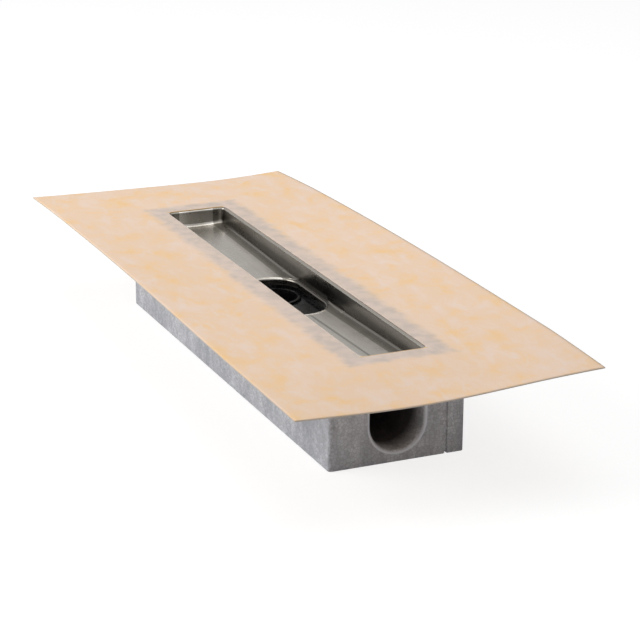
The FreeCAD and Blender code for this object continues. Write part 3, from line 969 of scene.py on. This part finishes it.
@dataclass
class FleeceCollar:
    """Sealing collar: flat on the flange, softly waved where it hangs free.

    Each edge's form holds the rise of its two ends and the heights of three
    sine half-waves on the chord between them, all in millimetres.
    """

    thickness: float = 0.8 * MM
    opening_x: float = 243.75 * MM
    opening_y: float = 31.5 * MM
    opening_corner: float = 5.5 * MM
    cut_slip: float = 1.8 * MM
    level_x: float = 262.25 * MM
    level_y: float = 50.0 * MM
    corner: float = 0.4 * MM
    pressed_lip: float = 0.12 * MM
    lip_fade: float = 60.0
    spring: float = 1.3
    long_points: int = 90
    short_points: int = 26
    corner_points: int = 9
    loops: int = 40
    far_edge: tuple = (-1.7, -1.8, -3.1, 0.7, -0.3)
    near_edge: tuple = (-0.5, 4.7, -4.9, -1.0, 0.4)
    right_edge: tuple = (0.0, 8.0, 5.1, 0.5, 0.0)
    left_edge: tuple = (0.0, 0.5, 2.6, 1.2, -0.4)
    finish: Finish = field(default_factory=FleeceFilm)

    def __post_init__(self) -> None:
        """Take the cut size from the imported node."""
        _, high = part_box("sealing_collar")
        self.half_x, self.half_y = high.x, high.y
        self.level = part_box("channel_trough")[1].z + self.thickness

    def long_edge(self, x: Grid, y: Grid) -> Grid:
        """Rise of the long edge on a place's side, at its X."""
        share = (x + self.half_x) / (2 * self.half_x)
        return np.where(y > 0, self.wave(share, self.right_edge), self.wave(share, self.left_edge))

    def short_edge(self, x: Grid, y: Grid) -> Grid:
        """Rise of the short edge at a place's end, at its Y."""
        share = (y + self.half_y) / (2 * self.half_y)
        return np.where(x > 0, self.wave(share, self.near_edge), self.wave(share, self.far_edge))

    @staticmethod
    def wave(share: Grid, form: tuple) -> Grid:
        """A chord from the first height to the second, plus three sine half-waves on it.

        Args:
            share: Way along the edge, 0 to 1.
            form: The edge's heights in millimetres.

        Returns:
            The rise there, in metres.
        """
        first, last, *waves = form
        rise = first * (1 - share) + last * share
        for number, height in enumerate(waves, 1):
            rise = rise + height * np.sin(number * math.pi * share)
        return rise * MM

    def height(self, x: Grid, y: Grid) -> Grid:
        """Height over the flange at any place of the sheet.

        Each edge's rise fades to nothing at the flange with a power of the
        share of the free margin. In a corner, where two edges meet, the rise
        of the corner itself is counted once, as in a Coons patch.

        Args:
            x: Places along the channel.
            y: Places across it.

        Returns:
            The heights there.
        """
        free_x, free_y = (
            np.clip((np.abs(value) - level) / (half - level), 0, 1) ** self.spring
            for value, level, half in ((x, self.level_x, self.half_x),
                                       (y, self.level_y, self.half_y)))
        corner_x, corner_y = np.sign(x) * self.half_x, np.sign(y) * self.half_y
        corner = self.short_edge(x, corner_y)
        shift = (corner - self.long_edge(corner_x, y)) * free_x
        return (free_y * (self.long_edge(x, y) + shift - free_x * corner)
                + free_x * self.short_edge(x, y))

    def build(self) -> list[Piece]:
        """Make the sheet as loops from its cut opening out to its edge."""
        sides = (np.linspace(0, 1, self.long_points), np.linspace(0, 1, self.short_points),
                 self.corner_points)
        inner = rounded_loop(self.opening_x, self.opening_y, self.opening_corner, *sides)
        inner[:, 1] += np.where(inner[:, 1] > 0, self.cut_slip, 0)
        outer = rounded_loop(self.half_x, self.half_y, self.corner, *sides)
        share = np.concatenate([[0.0, 0.008, 0.03], np.linspace(0.0, 1.0, self.loops)[2:]])
        plan = inner[None] * (1 - share[:, None, None]) + outer[None] * share[:, None, None]
        x, y = plan[..., 0], plan[..., 1]
        lip = self.pressed_lip * np.exp(-share * self.lip_fade)[:, None]
        points = np.stack([x, y, self.level + self.height(x, y) - lip], axis=-1)
        piece = mesh_piece(
            "fleece_collar", points.reshape(-1, 3), quads(*x.shape, closed=True)[:, ::-1])
        thicken(piece, self.thickness)
        dress(piece, self.finish)
        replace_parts(piece, "sealing_collar")
        return [piece]


@dataclass
class FoamBlock:
    """Support block of steamed beads, with its beds and the pipe slot."""

    edge: float = 3.0 * MM
    inner_edge: float = 0.3
    score_low: float = 46.5 * MM
    score_high: float = 49.5 * MM
    score_depth: float = 11.0 * MM
    open_depth: float = 1.4 * MM
    narrowing: float = 0.3
    slack: float = 0.05 * MM
    near: float = 1.0 * MM
    upright: float = 20.0 * MM
    mouth_half: float = 30.0 * MM
    mouth_low: float = 2.0 * MM
    finish: Finish = field(default_factory=SteamedBeads)

    def build(self) -> list[Piece]:
        """Make the block with softly rounded moulded edges."""
        piece = merged_copy("foam_block", "foam_support", self.edge, 3)
        self.close_score(piece.data)
        self.weigh_edges(piece)
        return [dress(piece, self.finish)]

    def close_score(self, mesh: bpy.types.Mesh) -> None:
        """Raise and narrow the floor of the snap-off line, whose flanks swell together.

        Each floor point moves out along X or Z to the open depth, and by a
        share of its distance towards the line's middle.

        Args:
            mesh: The block's mesh.
        """
        low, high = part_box("foam_support")
        points = np.empty(len(mesh.vertices) * 3, np.float32)
        mesh.vertices.foreach_get("co", points)
        points = points.reshape(-1, 3)
        middle = (self.score_low + self.score_high) / 2
        half = (self.score_high - self.score_low) / 2 + self.slack
        line = np.abs(points[:, 1] - middle) < half
        shift = self.score_depth - self.open_depth
        moved = np.zeros(len(points), bool)
        for axis in (0, 2):
            for wall, out in ((low[axis], -1), (high[axis], 1)):
                depth = points[:, axis] - (wall - out * self.score_depth)
                floor = line & (np.abs(depth) < self.slack)
                points[floor, axis] += out * shift
                moved |= floor
        points[moved, 1] += (middle - points[moved, 1]) * self.narrowing
        mesh.vertices.foreach_set("co", points.ravel())
        mesh.update()

    def weigh_edges(self, piece: Piece) -> None:
        """Round the block's upright edges and the slot's mouth most, the rest less."""
        low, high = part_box("foam_support")
        with edited(piece.data) as work:
            weight = work.edges.layers.float.new("bevel_weight_edge")
            for edge in work.edges:
                if not edge.is_manifold or edge.calc_face_angle(0.0) < SHARP:
                    continue
                x, y, z = np.array([vertex.co for vertex in edge.verts]).T
                at_side = np.all(np.minimum(y - low.y, high.y - y) < self.near)
                mouth = np.all(high.x - x < self.near) and np.all(np.abs(y) < self.mouth_half)
                most = ((np.ptp(z) > self.upright and at_side)
                        or (mouth and z.min() > self.mouth_low))
                edge[weight] = 1.0 if most else self.inner_edge
        piece.modifiers["rounded_edges"].limit_method = "WEIGHT"


@dataclass
class DrainHousing:
    """Moulded housing with its welded socket, gasket and the two spring clips."""

    edge: float = 0.5 * MM
    gasket_edge: float = 0.4 * MM
    clip_edge: float = 0.2 * MM
    plastic: Finish = field(default_factory=MouldedPlastic)
    rubber: Finish = field(default_factory=SealRubber)
    strip: Finish = field(default_factory=SpringStrip)

    def build(self) -> list[Piece]:
        """Make the housing's pieces with small moulded radii."""
        rows = (("housing_body", "drain_housing", self.edge, self.plastic, Slot.PLASTIC),
                ("pipe_socket", "outlet_socket", self.edge, self.plastic, Slot.PLASTIC),
                ("mouth_gasket", "housing_gasket", self.gasket_edge, self.rubber, Slot.RUBBER),
                ("snap_clips", "housing_clips", self.clip_edge, self.strip, Slot.SPRING))
        return [dress(merged_copy(name, node, edge), finish)
                for name, node, edge, finish, slot in rows]


@dataclass
class OdourTrap:
    """Lift-out trap: insert with its dip tube, and the cup on its ribs."""

    edge: float = 0.5 * MM
    plastic: Finish = field(default_factory=MouldedPlastic)

    def build(self) -> list[Piece]:
        """Make insert and cup with small moulded radii."""
        return [dress(merged_copy(name, node, self.edge), self.plastic)
                for name, node in (("dip_insert", "trap_insert"), ("water_cup", "trap_cup"))]


# ---- studio ----

@dataclass
class Studio:
    """White table, soft daylight from the left and the camera.

    Each lamp has its place and the point that it faces, its size in metres
    and its power in watts.
    """

    eye: tuple[float, float, float] = (1.90057, -0.80338, 0.75712)
    azimuth: float = 66.137
    elevation: float = 18.872
    roll: float = 0.344
    lens_mm: float = 125.85
    table_half: float = 9.0
    table_drop: float = 0.2 * MM
    sky: float = 0.3
    window_left: tuple = ((-0.9, -2.2, 1.3), (0.0, 0.0, 0.05), 1.8, 48.0)
    ceiling_panel: tuple = ((-0.2, 0.3, 2.4), (0.0, 0.0, 0.1), 2.2, 24.0)

    def build(self) -> None:
        """Set up camera, table, world and lamps."""
        self.camera()
        self.table()
        self.world()
        self.lamp("window_left", *self.window_left)
        self.lamp("ceiling_panel", *self.ceiling_panel)

    def camera(self) -> None:
        """Aim the camera by azimuth, elevation and roll from its eye point."""
        turn, tilt, roll = np.radians((self.azimuth, self.elevation, self.roll)).tolist()
        ahead = Vector((
            -math.sin(turn) * math.cos(tilt), math.cos(turn) * math.cos(tilt), -math.sin(tilt)))
        right = Vector((math.cos(turn), math.sin(turn), 0.0))
        up = right.cross(ahead)
        side = right * math.cos(roll) + up * math.sin(roll)
        top = up * math.cos(roll) - right * math.sin(roll)
        data = bpy.data.cameras.new("camera")
        data.lens = self.lens_mm
        data.sensor_width = 36.0
        data.clip_start = 0.01
        camera = linked("camera", data)
        turned = Matrix((side, top, -ahead)).transposed().to_4x4()
        camera.matrix_world = Matrix.Translation(Vector(self.eye)) @ turned
        bpy.context.scene.camera = camera

    def seen(self, tree: Tree) -> Node:
        """1 for what the camera sees directly, in a mirror or through glass."""
        path = add_node(tree, "LightPath").outputs
        mirror = add_node(tree, "Math", {0: path["Is Camera Ray"], 1: path["Is Glossy Ray"]},
                          operation="MAXIMUM")
        return add_node(
            tree, "Math", {0: mirror, 1: path["Is Transmission Ray"]}, operation="MAXIMUM")

    def table(self) -> None:
        """White table top that keeps a faint shadow of the drain, clear from below."""
        half = self.table_half
        corners = [(x, y, -self.table_drop)
                   for x, y in ((-half, -half), (half, -half), (half, half), (-half, half))]
        mesh = bpy.data.meshes.new("table")
        mesh.from_pydata(corners, [], [(0, 1, 2, 3)])
        made = bpy.data.materials.new("white_table")
        tree = cleared_tree(made)
        seen = self.seen(tree)
        grey = [(level, level, level, 1.0) for level in (0.8, 0.3)]
        diffuse = add_node(tree, "BsdfDiffuse", {"Color": paint(tree, grey[0], (seen, grey[1]))})
        level = add_node(tree, "Math", {0: seen, 1: 0.8}, operation="MULTIPLY")
        glow = add_node(tree, "Emission", {"Strength": level})
        both = add_node(tree, "AddShader", {0: diffuse, 1: glow})
        clear = add_node(tree, "BsdfTransparent", {"Color": "#ffffff"})
        underneath = add_node(tree, "NewGeometry").outputs["Backfacing"]
        top_only = add_node(tree, "MixShader", {0: underneath, 1: both, 2: clear})
        add_node(tree, "OutputMaterial", {"Surface": top_only})
        mesh.materials.append(made)
        linked("table", mesh)

    def world(self) -> None:
        """White backdrop with an even, dimmer light for the drain itself."""
        world = bpy.data.worlds.new("studio")
        bpy.context.scene.world = world
        tree = cleared_tree(world)
        level = add_node(tree, "MapRange", {
            "Value": self.seen(tree), "To Min": self.sky, "To Max": 1.0})
        back = add_node(tree, "Background", {"Color": "#ffffff", "Strength": level})
        add_node(tree, "OutputWorld", {"Surface": back})

    def lamp(self, name: str, place: tuple, target: tuple, size: float, power: float) -> None:
        """Add a square soft box that faces a point.

        Args:
            name: The lamp's name.
            place: Its middle.
            target: The point that it faces.
            size: Its side, in metres.
            power: Its power, in watts.
        """
        data = bpy.data.lights.new(name, "AREA")
        data.size = size
        data.energy = power
        ahead = Vector(target) - Vector(place)
        linked(name, data).matrix_world = (
            Matrix.Translation(Vector(place))
            @ ahead.to_track_quat("-Z", "Y").to_matrix().to_4x4())


def corners(box: tuple) -> list[list[float]]:
    """A box's two corners as plain lists."""
    return [[float(value) for value in corner] for corner in box]


def main() -> None:
    """Build every sub-assembly in order and report its pieces."""
    logging.basicConfig(level=logging.INFO, format="%(name)s: %(message)s")
    bpy.context.scene.view_settings.view_transform = "Standard"
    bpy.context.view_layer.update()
    Studio().build()
    for part in (FoamBlock(), SteelChannel(), FleeceCollar(), DrainHousing(), OdourTrap()):
        for piece in part.build():
            log.info("%s: %s, %d faces", type(part).__name__, piece.name,
                     len(piece.data.polygons))


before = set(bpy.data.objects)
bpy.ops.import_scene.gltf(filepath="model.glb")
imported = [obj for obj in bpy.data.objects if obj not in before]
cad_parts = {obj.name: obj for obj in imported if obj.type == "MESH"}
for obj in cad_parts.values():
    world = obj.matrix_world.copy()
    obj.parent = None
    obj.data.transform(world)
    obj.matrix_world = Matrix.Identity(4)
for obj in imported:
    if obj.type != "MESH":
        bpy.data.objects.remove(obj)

if __name__ == "__main__":
    main()
